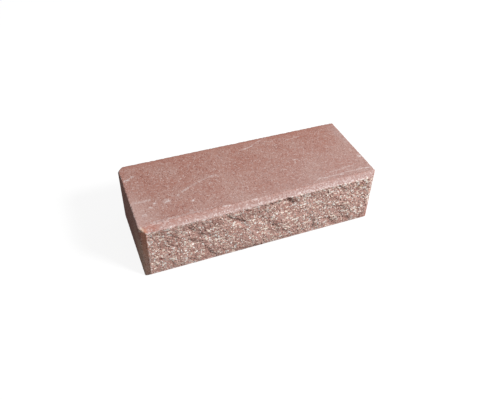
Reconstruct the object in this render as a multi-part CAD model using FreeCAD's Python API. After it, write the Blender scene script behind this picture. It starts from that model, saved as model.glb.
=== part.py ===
# A split face brick of pressed coloured concrete.
# A double block is pressed with a V groove all round its middle and then split along it.
# Each half keeps one flank of the groove, as a chamfer round a rough broken face.
# Sizes are millimetres. X runs along the brick, the broken face looks towards -Y, Z is up.
# The origin is under the middle of the brick, on the plane that its lower bed lies on.
import FreeCAD, Part
import math
import os
import random
from BOPTools import SplitAPI

# Pressed block
length = 250.0
depth = 100.0  # from the back face to the bottom line of the groove
height = 65.0
mould_radius = 2.0  # upright corners at the back, left by the corners of the mould
arris_wear = 0.4  # the other edges of the pressed faces, dulled by handling

# Half of the V groove, which is left as a chamfer round the broken face
groove_depth = 5.0
groove_side = 6.5  # taken off each end
groove_rise = 5.3  # taken off the upper and the lower bed

# Knocked off corner, at the back of the left end, on the upper bed
chip_length = 6.0
chip_depth = 10.5
chip_height = 10.5
chip_bulge_radius = 18.0
chip_room = 1.5  # how far the block that cuts it stands past the faces

# Broken face
split_proud = 2.0  # its highest point, in front of the groove line
edge_least = 0.1  # least and most that the break eats into the flank behind the groove line
edge_most = 0.7
border_ramp = 4.0  # how far in from the edge the full relief begins
edge_steps = 0.25  # share of a step's depth that is left on the edge
facet_size = 2.4
facet_stray = 0.32  # how far a corner of a facet strays, as a share of the facet
facet_grit = 0.28  # how far a corner lies off the broken face's forms
facet_seed = 1439
spare_facets = 2  # rows of them past the block on each side

# Ripples of the broken face, from long and high to short and low
ripple_count = 8
ripple_longest = 120.0
ripple_shortest = 20.0
ripple_rise = 0.5  # half height of the longest
ripple_fall = 1.2  # how fast shorter ones get lower, 1 keeps their slopes alike
ripple_lean = 42.0  # degrees that their crests lean back from upright
ripple_spread = 60.0

# Lumps that stood in one half or the other when the block parted
lump_count = 160
lump_smallest = 2.0
lump_largest = 5.0
lump_share = 0.18  # most height or depth, as a share of its size

# Steps where the break went from one plane to the next: from x, z to x, z, and how far down
step_width = 3.2  # how wide the step itself is
step_fade = 6.0  # how far past its ends a step dies out
step_return = 14.0  # how far below it the face is back in its plane
steps = (
    (-116.0, 57.5, -102.0, 54.0, 0.9),
    (-111.0, 38.0, -90.0, 34.0, 0.9),
    (-112.0, 24.0, -95.0, 15.0, 1.0),
    (-79.0, 55.0, -71.0, 47.0, 1.8),
    (-78.0, 36.5, -65.0, 30.0, 1.4),
    (-70.0, 43.0, -54.0, 34.0, 2.1),
    (-61.0, 21.0, -54.0, 7.0, 1.6),
    (-42.0, 59.5, -33.0, 49.5, 2.0),
    (-32.0, 50.5, -20.0, 41.5, 3.2),
    (-11.0, 48.5, -1.0, 41.0, 1.2),
    (3.0, 36.0, 13.0, 28.0, 1.8),
    (5.0, 59.5, 18.0, 56.5, 1.2),
    (14.0, 19.0, 29.0, 14.0, 1.7),
    (22.0, 63.0, 32.0, 50.0, 3.8),
    (51.0, 27.0, 60.0, 9.0, 1.6),
    (58.0, 45.0, 70.0, 36.5, 1.1),
    (70.0, 36.0, 90.0, 30.0, 1.5),
    (67.0, 20.0, 81.0, 11.0, 1.6),
    (79.0, 62.0, 90.0, 51.0, 2.2),
    (89.0, 14.0, 101.0, 8.5, 1.7),
)

# Swells that the break ran over: x, z, size and height
swells = (
    (20.0, 31.0, 7.0, 1.9),
    (-9.0, 17.0, 6.0, 1.2),
    (97.0, 31.0, 6.0, 1.2),
    (66.0, 39.0, 8.0, 1.2),
    (-88.0, 16.0, 6.0, 0.7),
    (-54.0, 27.0, 7.0, 0.9),
)

touching = 0.01  # places nearer than this are the same

back_y = (depth + split_proud) / 2
split_y = back_y - depth
edge_x = length / 2 - groove_side
edge_z = height / 2 - groove_rise


def pressed_half():
    """The block from its back face to the groove line, with all its pressed edges."""
    block = Part.makeBox(
        length,
        depth - groove_depth,
        height,
        FreeCAD.Vector(-length / 2, split_y + groove_depth, 0),
    )
    flank = Part.makeWedge(
        -edge_x, split_y, groove_rise, 0, -length / 2,
        edge_x, split_y + groove_depth, height - groove_rise, height, length / 2,
    )
    half = block.fuse(flank).removeSplitter()
    half = half.makeFillet(mould_radius, [edge for edge in half.Edges if is_upright_at_back(edge)])
    return half.makeChamfer(arris_wear, [edge for edge in half.Edges if is_worn(edge)])


def is_upright_at_back(edge):
    """True for the two edges that stand at the corners of the back face."""
    box = edge.BoundBox
    return box.YMin > back_y - touching and box.ZLength > height / 2


def is_worn(edge):
    """True for the edges between pressed faces, but not for the groove line."""
    box = edge.BoundBox
    on_groove_line = box.YMax < split_y + touching
    beside_mould_corner = box.ZLength > height / 2 and box.YMin > back_y - 2 * mould_radius
    return not on_groove_line and not beside_mould_corner


def double_block(half):
    """The pressed half with its twin, which flares out again past the groove."""
    twin = half.mirror(FreeCAD.Vector(0, split_y, 0), FreeCAD.Vector(0, 1, 0))
    return half.fuse(twin)


def ripples(draw):
    """Direction, wavelength and phase of each ripple of the broken face."""
    found = []
    for index in range(ripple_count):
        wavelength = ripple_longest * (ripple_shortest / ripple_longest) ** (index / (ripple_count - 1))
        lean = math.radians(ripple_lean + draw.uniform(-ripple_spread, ripple_spread))
        found.append((math.cos(lean), math.sin(lean), wavelength, draw.uniform(0, 2 * math.pi)))
    return found


def ripple_height(x, z, waves):
    """Height of all the ripples together, the long ones highest."""
    total = 0.0
    for across, up, wavelength, phase in waves:
        turn = 2 * math.pi * (x * across + z * up) / wavelength + phase
        total += ripple_rise * (wavelength / ripple_longest) ** ripple_fall * math.sin(turn)
    return total


def lumps(draw):
    """Place, size and height of each lump, below 0 where it left a hollow."""
    found = []
    for index in range(lump_count):
        x = draw.uniform(-edge_x, edge_x)
        z = height / 2 + draw.uniform(-edge_z, edge_z)
        size = lump_smallest * (lump_largest / lump_smallest) ** draw.random()
        found.append((x, z, size, size * lump_share * draw.uniform(-1, 1)))
    return found


def dome(x, z, size):
    """Share of a rounded lump's height that is left at a distance from its top."""
    return math.exp(-(x**2 + z**2) / size**2 / 2)


def lump_height(x, z, scattered):
    """Height of all the lumps together."""
    return sum(high * dome(x - lump_x, z - lump_z, size) for lump_x, lump_z, size, high in scattered)


def swell_height(x, z):
    """Height of the swells together."""
    return sum(high * dome(x - swell_x, z - swell_z, size) for swell_x, swell_z, size, high in swells)


def up_to_one(value):
    """The value, but no less than 0 and no more than 1."""
    return min(1.0, max(0.0, value))


def step_depth(x, z):
    """Depth behind the steps: sudden at each one, then easing out on its lower left side."""
    total = 0.0
    for x0, z0, x1, z1, drop in steps:
        run = FreeCAD.Vector(x1 - x0, 0, z1 - z0)
        offset = FreeCAD.Vector(x - x0, 0, z - z0)
        along = offset.dot(run) / run.Length
        below = run.cross(offset).y / run.Length
        lasting = up_to_one(0.5 + min(along, run.Length - along) / step_fade)
        fallen = up_to_one(0.5 + below / step_width)
        left = up_to_one(1 - below / step_return)
        total += drop * lasting * fallen * left**2
    return total


def border_share(x, z):
    """0 on the edge of the broken face and outside it, 1 well inside it."""
    inside = min(edge_x - abs(x), edge_z - abs(z - height / 2))
    part = up_to_one(inside / border_ramp)
    return part * (2 - part)


def facet_corners(draw):
    """Corners of the facets in the plane of the break, as rows of x, z, past the block all round."""
    columns = math.ceil(length / facet_size) + 2 * spare_facets
    lines = math.ceil(height / facet_size) + 2 * spare_facets
    rows = []
    for column in range(columns + 1):
        row = []
        for line in range(lines + 1):
            stray_x = draw.uniform(-facet_stray, facet_stray)
            stray_z = draw.uniform(-facet_stray, facet_stray)
            x = (column - columns / 2 + stray_x) * facet_size
            z = (line - lines / 2 + stray_z) * facet_size + height / 2
            row.append((x, z))
        rows.append(row)
    return rows


def break_points(draw):
    """The facets' corners, each moved to its height on the break."""
    waves = ripples(draw)
    scattered = lumps(draw)
    rows = facet_corners(draw)
    rough = {}
    for x, z in (corner for row in rows for corner in row):
        grit = draw.uniform(-facet_grit, facet_grit)
        forms = ripple_height(x, z, waves) + lump_height(x, z, scattered) + swell_height(x, z)
        rough[x, z] = forms + grit
    top = max(rough[corner] - step_depth(*corner) for corner in rough if border_share(*corner) == 1)
    points = []
    for row in rows:
        line = []
        for x, z in row:
            share = border_share(x, z)
            inner = split_proud + rough[x, z] - top
            edge = -draw.uniform(edge_least, edge_most)
            lasting = edge_steps + (1 - edge_steps) * share
            proud = share * inner + (1 - share) * edge - lasting * step_depth(x, z)
            line.append(FreeCAD.Vector(x, split_y - proud, z))
        points.append(line)
    return points


def triangle(a, b, c):
    """One facet of the break."""
    return Part.Face(Part.makePolygon([a, b, c, a]))


def break_sheet():
    """The whole break as a sheet of facets, two to each cell, cut on either diagonal."""
    draw = random.Random(facet_seed)
    points = break_points(draw)
    facets = []
    for left, right in zip(points, points[1:]):
        for low_left, low_right, high_left, high_right in zip(left, right, left[1:], right[1:]):
            if draw.getrandbits(1):
                facets.append(triangle(low_left, low_right, high_right))
                facets.append(triangle(low_left, high_right, high_left))
            else:
                facets.append(triangle(low_left, low_right, high_left))
                facets.append(triangle(low_right, high_right, high_left))
    return Part.Shell(facets)


def knocked_off_corner():
    """What is missing from the corner: all of it that lies outside a ball."""
    corner = FreeCAD.Vector(-length / 2, back_y, height)
    on_end = corner - FreeCAD.Vector(0, chip_depth, 0)
    on_back = corner + FreeCAD.Vector(chip_length, 0, 0)
    on_upright = corner - FreeCAD.Vector(0, 0, chip_height)
    ring = Part.Circle(on_end, on_back, on_upright)
    inward = ring.Axis
    if inward.dot(on_back - corner) < 0:
        inward = -inward
    sink = math.sqrt(chip_bulge_radius**2 - ring.Radius**2)
    ball = Part.makeSphere(chip_bulge_radius, ring.Center + inward * sink)
    block = Part.makeBox(
        chip_length + 2 * chip_room,
        chip_depth + 2 * chip_room,
        chip_height + 2 * chip_room,
        corner - FreeCAD.Vector(chip_room, chip_depth + chip_room, chip_height + chip_room),
    )
    return block.cut(ball)


def brick():
    """The half behind the break, without its knocked off corner."""
    halves = SplitAPI.slice(double_block(pressed_half()), [break_sheet()], "Split").Solids
    kept = max(halves, key=lambda half: half.CenterOfMass.y)
    return kept.cut(knocked_off_corner()).Solids[0]


os.makedirs("parts", exist_ok=True)
solid = brick()
solid.exportStep("parts/split_face_brick.step")
print("valid", solid.isValid(), "volume", round(solid.Volume), "faces", len(solid.Faces))
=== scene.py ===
import math

import bmesh
import bpy
from mathutils import Matrix, Vector, noise


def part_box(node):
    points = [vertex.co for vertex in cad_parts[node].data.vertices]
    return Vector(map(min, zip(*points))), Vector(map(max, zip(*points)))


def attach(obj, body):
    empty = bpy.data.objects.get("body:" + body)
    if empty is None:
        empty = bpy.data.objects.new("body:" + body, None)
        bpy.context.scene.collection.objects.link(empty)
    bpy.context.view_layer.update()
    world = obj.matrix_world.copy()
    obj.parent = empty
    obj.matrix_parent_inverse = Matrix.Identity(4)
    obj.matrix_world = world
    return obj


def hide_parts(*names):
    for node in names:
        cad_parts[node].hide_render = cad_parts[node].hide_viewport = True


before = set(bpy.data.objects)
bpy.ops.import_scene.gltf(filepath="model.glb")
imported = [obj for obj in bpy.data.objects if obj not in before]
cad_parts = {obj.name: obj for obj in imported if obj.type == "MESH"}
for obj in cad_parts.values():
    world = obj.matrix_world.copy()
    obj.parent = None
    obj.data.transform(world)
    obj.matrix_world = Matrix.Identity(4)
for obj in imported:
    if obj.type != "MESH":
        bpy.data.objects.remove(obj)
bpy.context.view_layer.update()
bpy.context.scene.view_settings.view_transform = "Standard"


# The camera: the place, aim and lens that were fitted to the brick's edges in the photograph.
# It looks down at the split face from its left.
camera_place = (-0.16814, -0.40677, 0.40889)
camera_azimuth = math.radians(22.82)  # turned from +Y towards +X
camera_elevation = math.radians(41.07)  # how far it looks down
camera_roll = math.radians(1.670)
camera_lens = 38.975
camera_sensor = 36
nearest_seen = 0.01
aim = Matrix.Rotation(-camera_azimuth, 4, "Z") @ Matrix.Rotation(math.pi / 2 - camera_elevation, 4, "X")
aim = aim @ Matrix.Rotation(camera_roll, 4, "Z")
bpy.ops.object.camera_add(location=camera_place, rotation=aim.to_euler())
camera = bpy.context.object
camera.name = "camera"
camera.data.lens = camera_lens
camera.data.sensor_width = camera_sensor
camera.data.clip_start = nearest_seen
bpy.context.scene.camera = camera


# The studio: a white floor under one large soft lamp, high on the right in front of the brick.
# The sky is a weak even grey, so the left end stays in shade, as in the photograph.
def empty_material(name):
    """A new material whose node tree holds only its output."""
    material = bpy.data.materials.new(name)
    material.use_nodes = True
    material.node_tree.nodes.clear()
    material.node_tree.nodes.new("ShaderNodeOutputMaterial").name = "out"
    return material


def put(tree, kind, inputs=None, **settings):
    """Adds a node. Each input takes a value, or another node's output to be wired to it."""
    added = tree.nodes.new(kind)
    for name, value in settings.items():
        setattr(added, name, value)
    for name, value in (inputs or {}).items():
        if isinstance(value, bpy.types.NodeSocket):
            tree.links.new(value, added.inputs[name])
        else:
            added.inputs[name].default_value = value
    return added


floor_size = 12.0
pure_white = (1.0, 1.0, 1.0, 1)
floor_glow = 0.82  # share of what the camera sees of the floor that takes no shadow
glow_strength = 1.08
floor_bounce = (0.16, 0.15, 0.145, 1)  # what the floor throws back at the brick
bpy.ops.mesh.primitive_plane_add(size=floor_size, location=(0, 0, 0))
floor = bpy.context.object
floor.name = "floor"
paper = empty_material("floor_paper")
tree = paper.node_tree
shaded = put(tree, "ShaderNodeBsdfDiffuse", {"Color": pure_white}).outputs[0]
glowing = put(tree, "ShaderNodeEmission", {"Strength": glow_strength}).outputs[0]
bounced = put(tree, "ShaderNodeBsdfDiffuse", {"Color": floor_bounce}).outputs[0]
shown = put(tree, "ShaderNodeMixShader", {0: floor_glow, 1: shaded, 2: glowing}).outputs[0]
from_camera = put(tree, "ShaderNodeLightPath").outputs["Is Camera Ray"]
choice = put(tree, "ShaderNodeMixShader", {0: from_camera, 1: bounced, 2: shown})
tree.links.new(choice.outputs[0], tree.nodes["out"].inputs["Surface"])
floor.data.materials.append(paper)

sky_strength = 0.28
sky = bpy.data.worlds.new("sky")
sky.use_nodes = True
bpy.context.scene.world = sky
tree = sky.node_tree
tree.nodes.clear()
even = put(tree, "ShaderNodeBackground", {"Color": pure_white, "Strength": sky_strength}).outputs[0]
white = put(tree, "ShaderNodeBackground", {"Color": pure_white}).outputs[0]
from_camera = put(tree, "ShaderNodeLightPath").outputs["Is Camera Ray"]
choice = put(tree, "ShaderNodeMixShader", {0: from_camera, 1: even, 2: white})
put(tree, "ShaderNodeOutputWorld", {"Surface": choice.outputs[0]})

lamp_place = (1.30, -1.36, 1.46)
lamp_size = 0.65
lamp_power = 67.0
bpy.ops.object.light_add(type="AREA", location=lamp_place)
lamp = bpy.context.object
lamp.name = "soft_lamp"
lamp.data.size = lamp_size
lamp.data.energy = lamp_power
lamp.rotation_euler = (-lamp.location).to_track_quat("-Z", "Y").to_euler()


# The brick: half of a double block of pressed concrete, coloured all through with iron oxide.
# It left the mould with smooth sides and a V groove, whose one flank is now the chamfered border,
# and was split along the groove, which bared the crushed stone in the front face.
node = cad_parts["split_face_brick"]
low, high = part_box("split_face_brick")
depth = 0.100  # from the back face to the bottom line of the groove
groove_depth = 0.005
groove_side = 0.0065  # taken off each end
groove_rise = 0.0053  # taken off the upper and the lower bed
grain_step = 0.0006  # distance between the mesh's points on the split face
flank_rows = 10
side_cuts = 119
rim_rows = 6
length = high.x - low.x
height = high.z - low.z
middle = Vector((0, 0, height / 2))
groove_line = high.y - depth
bed_front = groove_line + groove_depth  # where the pressed sides end and the flank begins
rough_x = length / 2 - groove_side
rough_z = height / 2 - groove_rise


def widen(half_x, half_z, to_x, to_z):
    """Stretches the selected outline about the brick's long axis to new half sizes."""
    bpy.ops.transform.resize(value=(to_x / half_x, 1, to_z / half_z), center_override=middle)


def between(start, end, share):
    return start + (end - start) * share


bpy.ops.object.select_all(action="DESELECT")
bpy.ops.mesh.primitive_grid_add(
    x_subdivisions=round(2 * rough_x / grain_step),
    y_subdivisions=round(2 * rough_z / grain_step),
    size=2,
    location=(0, groove_line, middle.z),
    rotation=(math.pi / 2, 0, 0),
)
brick = bpy.context.object
brick.name = "weathered_brick"
brick.data.name = "weathered_brick"
brick.scale = (rough_x, rough_z, 1)
bpy.ops.object.transform_apply(location=True, rotation=True, scale=True)

# The flank of the groove, out from the split face's edge and back to the pressed sides.
bpy.ops.object.mode_set(mode="EDIT")
bpy.ops.mesh.select_mode(type="EDGE")
bpy.ops.mesh.select_all(action="SELECT")
bpy.ops.mesh.region_to_loop()
for row in range(flank_rows):
    start, end = row / flank_rows, (row + 1) / flank_rows
    bpy.ops.mesh.extrude_edges_move(TRANSFORM_OT_translate={"value": (0, groove_depth / flank_rows, 0)})
    widen(
        between(rough_x, length / 2, start),
        between(rough_z, height / 2, start),
        between(rough_x, length / 2, end),
        between(rough_z, height / 2, end),
    )

# The four pressed sides, cut into rows, and the back face with a fine rim.
side_depth = high.y - bed_front
bpy.ops.mesh.extrude_edges_move(TRANSFORM_OT_translate={"value": (0, side_depth, 0)})
bpy.ops.mesh.select_all(action="DESELECT")
shape = bmesh.from_edit_mesh(brick.data)
for edge in shape.edges:
    edge.select_set(edge.calc_length() > side_depth / 2)
bmesh.update_edit_mesh(brick.data)
bpy.ops.mesh.subdivide(number_cuts=side_cuts)
bpy.ops.mesh.select_all(action="DESELECT")
bpy.ops.mesh.select_non_manifold()
for row in range(rim_rows):
    start, end = row * grain_step, (row + 1) * grain_step
    bpy.ops.mesh.extrude_edges_move()
    widen(length / 2 - start, height / 2 - start, length / 2 - end, height / 2 - end)
bpy.ops.mesh.edge_face_add()
bpy.ops.mesh.select_all(action="SELECT")
bpy.ops.mesh.normals_make_consistent(inside=False)
bpy.ops.object.mode_set(mode="OBJECT")

# How far each point is broken stone, and how near it is to an outer edge of the pressed block.
crumb_reach = 0.0009  # how far the crumbling carries past the groove line
break_fade = 0.0014
wander = 0.0011  # how far the edge of the break strays
wander_turns = 400  # how often it does, for each metre
right_break = (0.017, 0.027)  # above this the right flank is broken off too
arris_reach = 0.0015
arris_wear = 0.3
left_wear = 0.6  # wear of the left end's edges, apart from those at the back
chip_reach = (0.0085, 0.0105)  # how far from the block's corner the knocked off part reaches
worn_corner = Vector((-0.1235, -0.0462, 0.0635))  # the border's left end, at the upper bed
corner_reach = 0.006
corner_core = 0.3 * corner_reach
touching = 0.0001  # a point nearer than this to a line or a face lies on it


def smooth_share(value, start, end):
    """0 before start, 1 after end, and a smooth rise between them."""
    share = min(1.0, max(0.0, (value - start) / (end - start)))
    return share * share * (3 - 2 * share)


def side_insets(place):
    """How far a place lies in from the ends, the beds and the back, nearest first."""
    return sorted((length / 2 - abs(place.x), height / 2 - abs(place.z - middle.z), high.y - place.y))


def chip_share(place):
    """1 in the knocked off corner at the back of the left end."""
    return 1.0 - smooth_share((place - Vector((low.x, high.y, high.z))).length, *chip_reach)


def corner_share(place):
    """1 at the worn corner of the border."""
    return 1.0 - smooth_share((place - worn_corner).length, corner_core, corner_reach)


def arris_share(place):
    """How worn a place is: most on the outer edges of the pressed block, 0 from arris_reach inwards."""
    insets = sorted(side_insets(place) + [max(0.0, place.y - bed_front)])
    corner = corner_share(place)
    share = 1.0 - smooth_share(insets[0] + insets[1], 0.0, arris_reach * (1 + corner))
    crisp = place.x > low.x + 2 * arris_reach or high.y - place.y < arris_reach
    return share * (arris_wear if crisp else between(left_wear, 1.0, corner))


broken = brick.vertex_groups.new(name="broken")
arris = brick.vertex_groups.new(name="arris")
front = brick.vertex_groups.new(name="front")
for point in brick.data.vertices:
    inside_z = rough_z - abs(point.co.z - middle.z)
    inside = min(rough_x - abs(point.co.x), inside_z)
    if point.co.y < bed_front:
        stray = wander * noise.noise(point.co * wander_turns)
        if point.co.x > 0:
            stray += groove_side * smooth_share(point.co.z, *right_break)
        share = smooth_share(min(inside + stray, inside_z + wander), -crumb_reach, break_fade)
        broken.add([point.index], share, "REPLACE")
        if inside > touching:
            front.add([point.index], 1.0, "REPLACE")
    share = arris_share(point.co)
    if share > 0:
        arris.add([point.index], share, "REPLACE")

# The large forms are the solid's own: the split face is laid on it straight back, and the rest
# goes to its nearest point, which rounds the mould corners and takes off the chipped one.
onto_sides = brick.modifiers.new("onto_sides", "SHRINKWRAP")
onto_sides.target = node
onto_sides.wrap_method = "NEAREST_SURFACEPOINT"
onto_sides.vertex_group = "front"
onto_sides.invert_vertex_group = True
onto_break = brick.modifiers.new("onto_break", "SHRINKWRAP")
onto_break.target = node
onto_break.wrap_method = "PROJECT"
onto_break.use_project_y = True
onto_break.use_positive_direction = True
onto_break.use_negative_direction = True
onto_break.vertex_group = "front"
bpy.context.view_layer.objects.active = brick
bpy.ops.object.modifier_apply(modifier="onto_sides")
bpy.ops.object.modifier_apply(modifier="onto_break")


def calc(tree, operation, first, second=0.0, third=0.0):
    """One sum on numbers."""
    return put(tree, "ShaderNodeMath", {0: first, 1: second, 2: third}, operation=operation).outputs[0]


def product(tree, first, *others):
    """Any number of values multiplied together."""
    for value in others:
        first = calc(tree, "MULTIPLY", first, value)
    return first


def move(tree, operation, first, second=(0, 0, 0)):
    """One sum on vectors, which gives a vector."""
    return put(tree, "ShaderNodeVectorMath", {0: first, 1: second}, operation=operation).outputs["Vector"]


def measure(tree, operation, first, second=(0, 0, 0)):
    """One sum on vectors, which gives a number."""
    return put(tree, "ShaderNodeVectorMath", {0: first, 1: second}, operation=operation).outputs["Value"]


def stretch(tree, vector, factor):
    """A vector made longer or shorter."""
    scaled = put(tree, "ShaderNodeVectorMath", {0: vector, "Scale": factor}, operation="SCALE")
    return scaled.outputs["Vector"]


def flat_place(tree, place):
    """A place on the split face as seen from straight ahead, so that relief doesn't shift it."""
    apart = put(tree, "ShaderNodeSeparateXYZ", {0: place}).outputs
    return put(tree, "ShaderNodeCombineXYZ", {0: apart[0], 1: apart[2]}).outputs[0]


drift_turns = 0.8  # how often a grain's outline strays, for each length of the grain


def crushed_stone(tree, place, size, stray):
    """Angular grains of about one size: the strayed place, and the grain that it falls in."""
    drift = put(tree, "ShaderNodeTexNoise", {"Vector": place, "Scale": drift_turns / size, "Detail": 2.0})
    drift = move(tree, "SUBTRACT", drift.outputs["Color"], (0.5, 0.5, 0.5))
    place = move(tree, "ADD", place, stretch(tree, drift, stray * size))
    cells = put(tree, "ShaderNodeTexVoronoi", {"Vector": place, "Scale": 1 / size}, voronoi_dimensions="2D")
    return place, cells.outputs


# Each size of grain: its size, how far its grains lie above or below each other, how they lean,
# and how far their outlines stray, as a share of the size.
grains = (
    (0.0026, 0.0002, 0.30, 0.5),
    (0.0013, 0.00016, 0.38, 0.3),
)
crumble = 0.0066  # depth of the bites out of a worn edge, for each unit of noise above the level
bite_level = 0.47
bite_turns = 420.0
hollow_rounds = 7  # how widely a point's surroundings are averaged, to tell hollows from bumps
millimetre = 0.001


def grain_height(tree, place, size, lift, lean, stray):
    """Height of grains that each lie at a level and a lean of their own."""
    place, grain = crushed_stone(tree, place, size, stray)
    offset = move(tree, "SUBTRACT", place, grain["Position"])
    draw = move(tree, "SUBTRACT", grain["Color"], (0.5, 0.5, 0.5))
    leant = product(tree, measure(tree, "DOT_PRODUCT", offset, draw), 2 * lean)
    level = product(tree, put(tree, "ShaderNodeSeparateXYZ", {0: draw}).outputs[2], lift)
    return calc(tree, "ADD", leant, level)


relief = bpy.data.node_groups.new("bared_stone", "GeometryNodeTree")
relief.is_modifier = True
relief.interface.new_socket("Brick", in_out="INPUT", socket_type="NodeSocketGeometry")
relief.interface.new_socket("Brick", in_out="OUTPUT", socket_type="NodeSocketGeometry")
came = relief.nodes.new("NodeGroupInput")
place = put(relief, "GeometryNodeInputPosition").outputs[0]
bare = put(relief, "GeometryNodeInputNamedAttribute", {"Name": "broken"}).outputs["Attribute"]
worn = put(relief, "GeometryNodeInputNamedAttribute", {"Name": "arris"}).outputs["Attribute"]
seen = flat_place(relief, place)
total = 0.0
for size, lift, lean, stray in grains:
    total = calc(relief, "ADD", grain_height(relief, seen, size, lift, lean, stray), total)
proud = put(relief, "ShaderNodeCombineXYZ", {1: product(relief, total, bare, -1.0)}).outputs[0]
bite = put(
    relief,
    "ShaderNodeTexNoise",
    {"Vector": place, "Scale": bite_turns, "Detail": 3.0, "Roughness": 0.65},
)
bite = product(relief, calc(relief, "SUBTRACT", bite.outputs["Fac"], bite_level), -crumble)
bite = product(relief, calc(relief, "MINIMUM", bite, 0.0), worn)
bitten = stretch(relief, put(relief, "GeometryNodeInputNormal").outputs[0], bite)
moved = put(
    relief,
    "GeometryNodeSetPosition",
    {"Geometry": came.outputs[0], "Offset": move(relief, "ADD", proud, bitten)},
)
# How far each point lies behind its surroundings; the broken material paints shade into these hollows.
back = put(relief, "ShaderNodeSeparateXYZ", {0: place}).outputs[1]
around = put(relief, "GeometryNodeBlurAttribute", {"Value": back, "Iterations": hollow_rounds}).outputs[0]
hollow = product(relief, calc(relief, "SUBTRACT", back, around), bare, 1 / millimetre)
shape = moved.outputs[0]
for name, value in (("hollow", hollow), ("bare", bare), ("worn", worn)):
    kept = put(relief, "GeometryNodeStoreNamedAttribute", {"Geometry": shape, "Name": name, "Value": value})
    shape = kept.outputs[0]
gone = relief.nodes.new("NodeGroupOutput")
relief.links.new(shape, gone.inputs[0])
stone = brick.modifiers.new("bared_stone", "NODES")
stone.node_group = relief
bpy.ops.object.modifier_apply(modifier="bared_stone")

# The flat middles of the pressed faces need no points of their own, so each becomes one face.
flat_inset = 0.004
chip_room = (0.020, 0.021)  # how far from the left end and from the back the mesh stays fine
crease_angle = math.radians(38)
bpy.ops.object.mode_set(mode="EDIT")
bpy.ops.mesh.select_mode(type="FACE")
bpy.ops.mesh.select_all(action="DESELECT")
shape = bmesh.from_edit_mesh(brick.data)
for face in shape.faces:
    place = face.calc_center_median()
    beside_chip = place.x - low.x < chip_room[0] and high.y - place.y < chip_room[1]
    if place.y < bed_front + flat_inset or chip_share(place) > 0 or beside_chip:
        continue
    insets = side_insets(place)
    face.select_set(insets[0] < touching and insets[1] > flat_inset)
bmesh.update_edit_mesh(brick.data)
bpy.ops.mesh.dissolve_faces()
bpy.ops.object.mode_set(mode="OBJECT")
bpy.ops.object.shade_smooth_by_angle(angle=crease_angle)


# Pressed concrete is cement, sand and iron oxide against a steel plate: a close matt skin of
# fine sand, paler where cement lies on it, scuffed where other bricks slid over it, with painted bounce
# light on the left end.
def shader_group(name, takes, gives):
    """A new group of shader nodes with named inputs and outputs."""
    group = bpy.data.node_groups.new(name, "ShaderNodeTree")
    for label, kind, value in takes:
        socket = group.interface.new_socket(label, in_out="INPUT", socket_type=kind)
        if value is not None:
            socket.default_value = value
    for label in gives:
        group.interface.new_socket(label, in_out="OUTPUT", socket_type="NodeSocketFloat")
    return group, group.nodes.new("NodeGroupInput").outputs, group.nodes.new("NodeGroupOutput").inputs


def ramp(tree, value, start, end):
    """0 at start, 1 at end and a smooth rise between."""
    return put(
        tree,
        "ShaderNodeMapRange",
        {"Value": value, "From Min": start, "From Max": end},
        interpolation_type="SMOOTHSTEP",
    ).outputs["Result"]


def span(tree, share, start, end):
    """start where the share is 0 and end where it is 1."""
    return calc(tree, "MULTIPLY_ADD", share, end - start, start)


def coat(tree, under, over, share, strength=1.0):
    """A colour with another laid over it, by a share that changes over the surface."""
    return put(
        tree,
        "ShaderNodeMix",
        {0: product(tree, share, strength), 6: under, 7: over},
        data_type="RGBA",
    ).outputs[2]


def paint(red, green, blue):
    """A colour given as it looks on a screen, from 0 to 255."""
    shades = [value / 255 for value in (red, green, blue)]
    return tuple(v / 12.92 if v < 0.04045 else ((v + 0.055) / 1.055) ** 2.4 for v in shades) + (1.0,)


sand, takes, gives = shader_group(
    "fine_sand",
    (("Place", "NodeSocketVector", None), ("Size", "NodeSocketFloat", 0.0008)),
    ("Pale", "Dark", "Height"),
)
coloured_draw = (0.74, 0.96)  # grains that draw more than this are pale or dark
sand_core = (0.62, 0.30)  # how far from its middle a grain keeps its colour, by its size
per_size = calc(sand, "DIVIDE", 1.0, takes["Size"])
cells = put(sand, "ShaderNodeTexVoronoi", {"Vector": takes["Place"], "Scale": per_size}).outputs
draws = put(sand, "ShaderNodeSeparateColor", {0: cells["Color"]}).outputs
core = ramp(sand, cells["Distance"], *sand_core)
sand.links.new(product(sand, ramp(sand, draws[0], *coloured_draw), core), gives["Pale"])
sand.links.new(product(sand, ramp(sand, draws[1], *coloured_draw), core), gives["Dark"])
sand.links.new(product(sand, core, draws[2]), gives["Height"])

cloud, takes, gives = shader_group(
    "uneven_film",
    (
        ("Place", "NodeSocketVector", None),
        ("Size", "NodeSocketFloat", 0.02),
        ("From", "NodeSocketFloat", 0.45),
        ("To", "NodeSocketFloat", 0.7),
    ),
    ("Share",),
)
per_size = calc(cloud, "DIVIDE", 1.0, takes["Size"])
billows = put(
    cloud,
    "ShaderNodeTexNoise",
    {"Vector": takes["Place"], "Scale": per_size, "Detail": 5.0, "Roughness": 0.62},
)
cloud.links.new(ramp(cloud, billows.outputs["Fac"], takes["From"], takes["To"]), gives["Share"])

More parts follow.
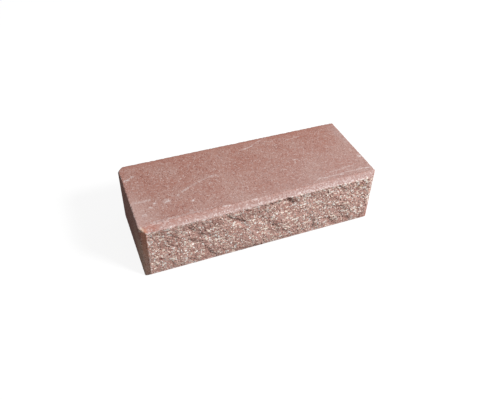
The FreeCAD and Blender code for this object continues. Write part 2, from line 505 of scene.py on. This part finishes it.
scuff, takes, gives = shader_group(
    "scuff",
    (
        ("Place", "NodeSocketVector", None),
        ("Start", "NodeSocketVector", None),
        ("End", "NodeSocketVector", None),
        ("Width", "NodeSocketFloat", 0.001),
        ("Bow", "NodeSocketFloat", 0.0),
        ("Strength", "NodeSocketFloat", 0.5),
    ),
    ("Share",),
)
stroke_edge = (1.0, 0.15)  # a scuff's soft edge, by its half width
grit_share = (0.34, 0.62)  # where the grit of a scuff begins and is full, by its noise
skip_share = (0.36, 0.56)  # the same for the longer stretches that it presses harder on
run = move(scuff, "SUBTRACT", takes["End"], takes["Start"])
offset = move(scuff, "SUBTRACT", takes["Place"], takes["Start"])
run_square = measure(scuff, "DOT_PRODUCT", run, run)
along = calc(scuff, "DIVIDE", measure(scuff, "DOT_PRODUCT", offset, run), run_square)
along = put(scuff, "ShaderNodeClamp", {0: along}).outputs[0]
sideways = move(scuff, "NORMALIZE", move(scuff, "CROSS_PRODUCT", (0, 0, 1), run))
bulge = product(scuff, along, calc(scuff, "SUBTRACT", 1.0, along), 4.0, takes["Bow"])
nearest = move(scuff, "ADD", stretch(scuff, run, along), stretch(scuff, sideways, bulge))
gap = measure(scuff, "LENGTH", move(scuff, "SUBTRACT", offset, nearest))
stroke = ramp(scuff, calc(scuff, "DIVIDE", gap, takes["Width"]), *stroke_edge)
grit = put(scuff, "ShaderNodeTexNoise", {"Vector": takes["Place"], "Scale": 600.0, "Detail": 3.0})
grit = ramp(scuff, grit.outputs["Fac"], *grit_share)
skips = put(scuff, "ShaderNodeTexNoise", {"Vector": takes["Place"], "Scale": 160.0, "Detail": 1.0})
skips = span(scuff, ramp(scuff, skips.outputs["Fac"], *skip_share), 0.6, 1.2)
scuff.links.new(product(scuff, stroke, grit, skips, takes["Strength"]), gives["Share"])


def placed(tree, group, **values):
    """One use of a group in a material, with its own values."""
    used = put(tree, "ShaderNodeGroup", node_tree=group)
    for label, value in values.items():
        if isinstance(value, bpy.types.NodeSocket):
            tree.links.new(value, used.inputs[label])
        else:
            used.inputs[label].default_value = value
    return used.outputs


pressed_red = paint(181, 137, 125)
pressed_deep = paint(173, 119, 105)
pressed_pale = paint(191, 160, 153)
flank_red = paint(152, 106, 95)
sand_pale = paint(224, 201, 195)
sand_dark = paint(128, 69, 57)
cement_film = paint(196, 176, 173)
cement_pink = paint(214, 184, 177)
cement_white = paint(230, 216, 213)
crumb_cream = paint(222, 208, 188)
# The colour of the painted bounce light on the left end.
end_painted_bounce = paint(218, 181, 158)
orange_stain = paint(166, 98, 79)
rusty_brown = paint(192, 132, 108)

# Where each finish, and the painted bounce light, begins and where it is full, along one axis.
flank_y = (bed_front + 0.0006, bed_front - 0.0010)
flank_deep_x = (-0.100, 0.000)
border_y = (bed_front + 0.0015, groove_line - 0.0002)
border_x = (0.230, 0.040)
brighter_x = (-0.030, 0.080)  # the cement film thickens this way along the brick
left_film_x, left_film_y = (-0.098, -0.126), (0.030, -0.040)
right_film_x, right_film_y = (0.104, 0.125), (-0.020, 0.015)
bed_film_y = (0.060, -0.045)
front_strip_y = (-0.024, -0.038)
back_edge_y = (0.041, 0.049)
lip_z = (0.0635, 0.0600)
# Where the painted bounce light lies on the left end and on its flank.
bounce_x, bounce_y, bounce_z = (-0.1175, -0.1200), (0.000, -0.040), (0.060, 0.030)
bounce_flank_y = (bed_front, bed_front - 0.0015)
rust_x, rust_y, rust_z = (-0.1170, -0.1190), (bed_front - 0.0005, bed_front - 0.0025), (0.020, 0.055)

# The same by how far up a face looks, by the gap to the stain, by wear and by how bare it is.
facing_up = (0.2, 0.6)
stain_place = (-0.1166, -0.0475, 0.0625)
stain_reach = (0.014, 0.005)
worn_specks = (0.1, 0.6)
lip_bare = (0.0, 0.12)

# Scuffs and single white marks on the upper bed, as seen from above: start x and y, end x and y,
# half width, bow and strength. All but the strength are in millimetres.
scuffs = (
    (-73, -8.5, -34.5, 6, 1.9, 1.5, 0.5),
    (-34.5, 6, -32.5, 2.5, 1.7, 0.3, 0.45),
    (-80, -13.5, -73, -8.5, 1.4, 0.5, 0.3),
    (5, 36.5, 19, 39.5, 1.4, -0.8, 0.55),
    (19, 39.5, 40, 49, 1.4, 1, 0.4),
    (42, 32, 48, 33, 1.4, 0, 0.5),
    (59.5, 37, 76.5, 39, 1.4, 0.3, 0.4),
    (-122, 26.5, -118.5, 27.5, 2.6, 0, 0.7),
    (-117, 29, -113.5, 31, 2.9, 0, 0.5),
    (-120.5, -9.5, -113.5, -10, 2, 0.2, 0.6),
    (-112.5, -10, -106, -10, 2.4, 0.4, 0.7),
    (-91, -16.5, -89.5, -17, 4.6, 0, 0.8),
    (-103, -16, -101.5, -16, 1.4, 0, 2),
    (-108, -20.5, -107, -21, 1.8, 0, 0.7),
    (-116, -29, -114.5, -29, 3, 0, 0.5),
    (-67, -24.5, -66.5, -24.5, 1.7, 0, 2),
    (-112, -41.5, -86, -41.5, 1.9, 0.3, 0.4),
    (-86, -41.5, -52, -41, 1.9, 0.3, 0.3),
    (-43.5, -5.5, -41.5, -5.5, 1.7, 0, 0.75),
    (52, 1.5, 56, 0.5, 1.5, 0, 0.6),
    (52.5, 0, 51.5, -4.5, 1.4, 0.3, 0.5),
    (79.5, -31, 91, -30.5, 1.5, 0.3, 0.6),
    (91, -30.5, 108, -28.5, 1.4, 0.3, 0.45),
    (87.5, -38.5, 90.5, -38.5, 1.4, 0, 0.8),
    (62.5, -37, 71.5, -37.5, 1.4, 0.2, 0.65),
    (71.5, -37.5, 109, -36.5, 1.2, 0.3, 0.45),
    (109, -36.5, 124, -38, 1.4, 0.3, 0.65),
    (121, -16.5, 122, -17, 2.4, 0, 2),
    (-111, -43.5, -96, -43.5, 1.5, 0.2, 0.4),
    (-73.5, -37.5, -71.5, -39, 1.4, 0, 0.75),
    (-77, -41, -66.5, -42.5, 1.4, 0.3, 0.5),
    (-42, -42.5, -36, -43.5, 1.9, 0.2, 1.1),
    (-12, -43.5, -7.5, -43.5, 1.5, 0, 0.75),
)

pressed = empty_material("pressed_concrete")
tree = pressed.node_tree
spot = put(tree, "ShaderNodeTexCoord").outputs
place = spot["Object"]
x, y, z = put(tree, "ShaderNodeSeparateXYZ", {0: place}).outputs
upward = ramp(tree, put(tree, "ShaderNodeSeparateXYZ", {0: spot["Normal"]}).outputs[2], *facing_up)
bare_share = put(tree, "ShaderNodeAttribute", attribute_name="bare").outputs["Fac"]
worn_share = put(tree, "ShaderNodeAttribute", attribute_name="worn").outputs["Fac"]
patches = placed(tree, cloud, Place=place, Size=0.035, From=0.36, To=0.66)["Share"]
colour = coat(tree, pressed_deep, pressed_red, patches)
flank = product(tree, ramp(tree, y, *flank_y), upward)
deeper = span(tree, ramp(tree, x, *flank_deep_x), 0.40, 0.85)
colour = coat(tree, colour, flank_red, product(tree, flank, deeper))
stain = ramp(tree, measure(tree, "DISTANCE", place, stain_place), *stain_reach)
colour = coat(tree, colour, orange_stain, stain, strength=0.80)

# Painted bounce light from the floor: paler towards the lower front of the left end, laid on in clots, and
# weaker on the flank there.
painted_bounce = product(tree, ramp(tree, x, *bounce_x), ramp(tree, y, *bounce_y), ramp(tree, z, *bounce_z))
bounce_clots = placed(tree, cloud, Place=place, Size=0.0035, From=0.42, To=0.60)["Share"]
painted_bounce = product(tree, painted_bounce, span(tree, bounce_clots, 0.70, 1.45))
bounce_on_flank = span(tree, ramp(tree, y, *bounce_flank_y), 1.05, 0.50)
colour = coat(tree, colour, end_painted_bounce, product(tree, painted_bounce, bounce_on_flank))

# The sand in the skin, in two sizes.
mottle = placed(tree, cloud, Place=place, Size=0.004, From=0.40, To=0.72)["Share"]
colour = coat(tree, colour, pressed_pale, mottle, strength=0.42)
grit_coarse = placed(tree, sand, Place=place, Size=0.0014)
grit_fine = placed(tree, sand, Place=place, Size=0.0009)
colour = coat(tree, colour, sand_pale, grit_coarse["Pale"], strength=0.60)
colour = coat(tree, colour, sand_dark, grit_coarse["Dark"], strength=0.80)
colour = coat(tree, colour, sand_pale, grit_fine["Pale"], strength=0.85)
colour = coat(tree, colour, sand_dark, grit_fine["Dark"])

# A grey cement film on the upper bed, thicker towards the front and both ends, and thickest
# with specks of white on the border's flank, which left the mould last.
brighter = span(tree, ramp(tree, x, *brighter_x), 0.40, 1.00)
bed_film = product(tree, ramp(tree, y, *bed_film_y), brighter, 0.22)
bed_film = calc(tree, "ADD", bed_film, product(tree, ramp(tree, y, *front_strip_y), 0.06))
right_film = product(tree, ramp(tree, x, *right_film_x), ramp(tree, y, *right_film_y), 0.30)
film = product(tree, calc(tree, "MAXIMUM", right_film, bed_film), upward)
border = product(tree, ramp(tree, y, *border_y), upward, span(tree, stain, 1.0, 0.15))
border = product(tree, border, ramp(tree, x, *border_x))
film = calc(tree, "ADD", film, product(tree, border, brighter, 0.14))
film_grain = placed(tree, cloud, Place=place, Size=0.0018, From=0.34, To=0.66)["Share"]
film_grain = span(tree, film_grain, 0.5, 1.5)
colour = coat(tree, colour, cement_film, product(tree, film, film_grain))
left_film = product(tree, ramp(tree, x, *left_film_x), ramp(tree, y, *left_film_y))
left_film = product(tree, left_film, calc(tree, "SUBTRACT", upward, flank), film_grain)
colour = coat(tree, colour, cement_pink, left_film, strength=0.50)
salt = placed(tree, cloud, Place=place, Size=0.0021, From=0.50, To=0.58)["Share"]
colour = coat(tree, colour, cement_white, product(tree, salt, border, brighter), strength=0.85)
white_grains = placed(tree, sand, Place=place, Size=0.0017)["Pale"]
colour = coat(tree, colour, cement_white, product(tree, white_grains, border), strength=0.90)
colour = coat(tree, colour, pressed_deep, ramp(tree, y, *back_edge_y), strength=0.60)

# Scuffs, rust on the left flank, and pale crumbs on the worn edges and along the border's lip.
marks = 0.0
for start_x, start_y, end_x, end_y, width, bow, strength in scuffs:
    mark = placed(
        tree,
        scuff,
        Place=place,
        Start=(start_x * millimetre, start_y * millimetre, high.z),
        End=(end_x * millimetre, end_y * millimetre, high.z),
        Width=width * millimetre,
        Bow=bow * millimetre,
        Strength=strength,
    )["Share"]
    marks = calc(tree, "MAXIMUM", mark, marks)
colour = coat(tree, colour, cement_white, marks)
rust = product(tree, ramp(tree, x, *rust_x), ramp(tree, y, *rust_y), ramp(tree, z, *rust_z))
colour = coat(tree, colour, rusty_brown, rust, strength=0.75)
edge_specks = placed(tree, cloud, Place=place, Size=0.0022, From=0.50, To=0.62)["Share"]
edge_specks = product(tree, edge_specks, ramp(tree, worn_share, *worn_specks))
colour = coat(tree, colour, cement_white, edge_specks, strength=0.8)
crumbs = placed(tree, cloud, Place=place, Size=0.0017, From=0.44, To=0.56)["Share"]
corner_gap = measure(tree, "DISTANCE", place, worn_corner)
corner_crumbs = product(tree, crumbs, ramp(tree, corner_gap, 0.8 * corner_reach, corner_core))
colour = coat(tree, colour, crumb_cream, corner_crumbs, strength=0.7)
lip_crumbs = product(tree, ramp(tree, bare_share, *lip_bare), crumbs, calc(tree, "SUBTRACT", 1.1, brighter))
lip_film = product(tree, ramp(tree, z, *lip_z), calc(tree, "SUBTRACT", 1.0, brighter), border, 0.32)
colour = coat(tree, colour, cement_white, calc(tree, "MAXIMUM", lip_crumbs, lip_film))
skin_height = calc(tree, "ADD", product(tree, grit_fine["Height"], 0.5), grit_coarse["Height"])
bump = put(tree, "ShaderNodeBump", {"Height": skin_height, "Distance": 0.00012, "Strength": 0.8})
skin = put(
    tree,
    "ShaderNodeBsdfPrincipled",
    {"Base Color": colour, "Roughness": 0.86, "Normal": bump.outputs[0]},
)
tree.links.new(skin.outputs[0], tree.nodes["out"].inputs["Surface"])


# Broken concrete shows its inside: cream, white and grey crushed stone in the red brown cement,
# with painted shade in the gaps where a grain was torn out, in the hollows, under the lip and at the foot.
cement_red = paint(174, 132, 121)
# Dark cement: the real dark specks, and also the colour of the painted shade on the break.
cement_dark_and_shade = paint(138, 101, 92)
stone_cream = paint(236, 220, 206)
stone_white = paint(244, 238, 232)
stone_grey = paint(188, 166, 155)
stone_pink = paint(196, 159, 149)
stone_kinds = ((0.0, stone_cream), (0.4, stone_white), (0.7, stone_pink), (0.88, stone_grey))
shown_draw = (0.72, 0.76)  # grains that draw more than this show their stone
socket_shade_draw = (0.16, 0.12)  # grains that draw less than this get painted shade, as sockets where a grain was torn out
stone_core = (0.55, 0.38)  # how far from its middle a grain keeps its colour, by its size
hollow_shade_depth = (0.08, 0.5)  # how deep a hollow must be for its painted shade to begin and to be full, in millimetres

# Single grains that stand out: x, z and half size in millimetres, and colour.
ochre = paint(224, 172, 118)
pale_ochre = paint(240, 208, 160)
dark_red = paint(112, 30, 24)
red_brown = paint(148, 92, 82)
odd_grains = (
    (-109, 54.5, 1.2, ochre),
    (105.5, 51, 1.0, pale_ochre),
    (108.5, 52, 1.0, pale_ochre),
    (-99.5, 25, 1.4, dark_red),
    (-108, 21, 2.0, red_brown),
)

# Where painted shade darkens the break, under the lip and at its foot, and where pale crumbs lie.
upper_rim_in, upper_rim_out = (0.043, 0.052), (0.0600, 0.0560)
upper_rim_x = (0.015, 0.060)
lower_rim_z = (0.018, 0.004)
crumb_z = (0.052, 0.058)
crumb_bare = (0.95, 0.55)

split = empty_material("broken_concrete")
tree = split.node_tree
place = put(tree, "ShaderNodeTexCoord").outputs["Object"]
x, y, z = put(tree, "ShaderNodeSeparateXYZ", {0: place}).outputs
hollow = put(tree, "ShaderNodeAttribute", attribute_name="hollow").outputs["Fac"]
bare_share = put(tree, "ShaderNodeAttribute", attribute_name="bare").outputs["Fac"]
seen = flat_place(tree, place)
patches = placed(tree, cloud, Place=place, Size=0.010, From=0.35, To=0.70)["Share"]
colour = coat(tree, cement_red, stone_pink, patches)
grit_fine = placed(tree, sand, Place=place, Size=0.0009)
colour = coat(tree, colour, stone_cream, grit_fine["Pale"], strength=0.85)
colour = coat(tree, colour, cement_dark_and_shade, grit_fine["Dark"], strength=0.5)
cluster = placed(tree, cloud, Place=place, Size=0.013, From=0.32, To=0.68)["Share"]
cluster = span(tree, cluster, -0.08, 0.08)
for size, _, _, stray in grains:
    grain = crushed_stone(tree, seen, size, stray)[1]
    draws = put(tree, "ShaderNodeSeparateColor", {0: grain["Color"]}).outputs
    chosen = calc(tree, "ADD", draws[0], cluster)
    tone = put(tree, "ShaderNodeValToRGB", {0: draws[1]})
    tone.color_ramp.interpolation = "CONSTANT"
    tone.color_ramp.elements.remove(tone.color_ramp.elements[1])
    for start, stone_colour in stone_kinds:
        element = tone.color_ramp.elements.new(start) if start else tone.color_ramp.elements[0]
        element.position = start
        element.color = stone_colour
    core = ramp(tree, grain["Distance"], *stone_core)
    shown = product(tree, ramp(tree, chosen, *shown_draw), core)
    socket_shade = product(tree, ramp(tree, chosen, *socket_shade_draw), core)
    colour = coat(tree, colour, tone.outputs[0], shown)
    # Painted shade in the sockets of torn out grains.
    colour = coat(tree, colour, cement_dark_and_shade, socket_shade, strength=0.5)
# Painted shade in the hollows of the relief, darker the deeper they are.
colour = coat(tree, colour, cement_dark_and_shade, ramp(tree, hollow, *hollow_shade_depth), strength=0.5)
for grain_x, grain_z, size, grain_colour in odd_grains:
    gap = measure(tree, "DISTANCE", seen, (grain_x * millimetre, grain_z * millimetre, 0))
    share = ramp(tree, gap, size * millimetre, 0.7 * size * millimetre)
    colour = coat(tree, colour, grain_colour, share, strength=0.9)
# Painted shade under the lip, stronger on the left, and at the foot of the break, laid on in patches.
under_lip_shade = product(tree, ramp(tree, z, *upper_rim_in), ramp(tree, z, *upper_rim_out))
under_lip_shade = product(tree, under_lip_shade, span(tree, ramp(tree, x, *upper_rim_x), 0.60, 0.15))
foot_shade = product(tree, ramp(tree, z, *lower_rim_z), 0.80)
rim_painted_shade = placed(tree, cloud, Place=place, Size=0.004, From=0.35, To=0.65)["Share"]
rim_painted_shade = product(tree, calc(tree, "MAXIMUM", under_lip_shade, foot_shade), rim_painted_shade)
colour = coat(tree, colour, cement_dark_and_shade, rim_painted_shade)
crumbs = placed(tree, cloud, Place=place, Size=0.0017, From=0.44, To=0.56)["Share"]
crumbs = product(tree, crumbs, ramp(tree, bare_share, *crumb_bare), ramp(tree, z, *crumb_z))
colour = coat(tree, colour, cement_white, crumbs, strength=0.7)
bump = put(tree, "ShaderNodeBump", {"Height": grit_fine["Height"], "Distance": 0.00035, "Strength": 0.9})
inside = put(
    tree,
    "ShaderNodeBsdfPrincipled",
    {"Base Color": colour, "Roughness": 0.93, "Normal": bump.outputs[0]},
)
tree.links.new(inside.outputs[0], tree.nodes["out"].inputs["Surface"])

# A face takes the broken finish where its points are on average more bare than this.
bare_from = 0.42
brick.data.materials.append(pressed)
brick.data.materials.append(split)
bare_values = brick.data.attributes["bare"].data
for face in brick.data.polygons:
    mean = sum(bare_values[index].value for index in face.vertices) / len(face.vertices)
    face.material_index = 1 if mean > bare_from else 0

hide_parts("split_face_brick")
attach(brick, "root")
